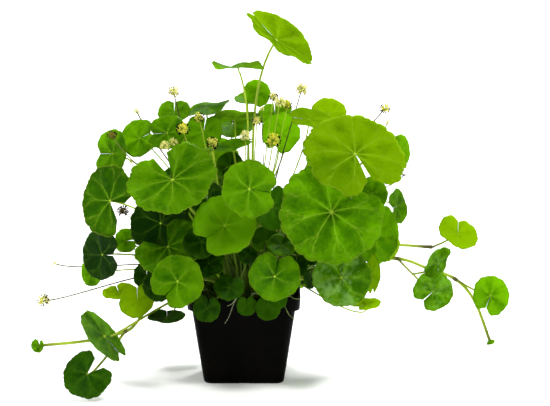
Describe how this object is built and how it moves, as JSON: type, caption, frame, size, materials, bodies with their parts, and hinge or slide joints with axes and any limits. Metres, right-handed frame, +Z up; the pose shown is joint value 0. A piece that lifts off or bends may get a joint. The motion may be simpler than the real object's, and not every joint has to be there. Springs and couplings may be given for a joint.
{
  "type": "brazilian pennywort in a pot",
  "caption": "Trailing round-leaved water plant with small ball-shaped flower heads, growing in a square tapered black nursery pot that stands on its flat foot.",
  "frame": {"origin": "under the middle of the pot, on the flat face of its foot that it stands on", "axes": "+Z up, -Y towards the side the picture shows, +X to the right as seen from that side"},
  "size_m": [0.3627, 0.2219, 0.287],
  "materials": {
    "pot": "satin",
    "compost": "matte",
    "leaf": "satin",
    "dark_leaf": "satin",
    "pale_leaf": "satin",
    "flower": "matte",
    "stem": "satin"
  },
  "bodies": {
    "root": {"pot": "pot", "compost": "compost", "leaf_top": "pale_leaf", "leaf_top_flat": "leaf", "leaves_crown": "leaf", "leaf_crown_left": "leaf", "leaf_crown_turned": "leaf", "leaf_crown_slanted": "leaf", "leaf_shoulder_left": "leaf", "leaves_shoulder_left": "leaf", "leaf_heart": "leaf", "leaf_side_left_upper": "leaf", "leaf_side_left_middle": "leaf", "leaf_side_left_lower": "dark_leaf", "leaves_side_left_small": "leaf", "leaf_shade_left": "dark_leaf", "leaf_left_lower": "leaf", "leaf_left_inner": "dark_leaf", "leaf_front_left": "leaf", "leaf_front_upper": "leaf", "leaf_front_middle": "leaf", "leaf_shade_middle": "dark_leaf", "leaf_inner_right": "dark_leaf", "leaf_front_large": "leaf", "leaf_shoulder_right_large": "pale_leaf", "leaf_shoulder_right_back": "pale_leaf", "leaf_crown_right": "pale_leaf", "leaf_side_right_upper": "leaf", "leaves_side_right_small": "leaf", "leaf_side_right_middle": "leaf", "leaf_side_right_turned": "pale_leaf", "leaf_front_right": "leaf", "leaves_side_right_low": "pale_leaf", "leaf_front_lower": "leaf", "leaves_rim_left": "dark_leaf", "leaves_rim_right": "dark_leaf", "leaves_shade_right": "dark_leaf", "leaves_shade_middle": "dark_leaf", "leaves_shade_left": "dark_leaf", "leaf_trailing_left_upper": "leaf", "leaf_trailing_left_lower": "dark_leaf", "leaves_pale_left": "pale_leaf", "leaf_trailing_right_upper": "pale_leaf", "leaves_trailing_right": "leaf", "leaf_trailing_right_end": "leaf", "leaves_back_left": "leaf", "leaves_back_middle": "leaf", "leaves_back_right": "leaf", "leaves_back_low": "leaf", "flowers_left": "flower", "flowers_shoulder": "flower", "flowers_middle": "flower", "flowers_crown": "flower", "flower_tall": "flower", "flower_right": "flower", "flower_left_long": "flower", "flower_left_small": "flower", "stem_left": "stem", "stem_right_upper": "stem", "stem_right_lower": "stem"}
  },
  "joints": []
}
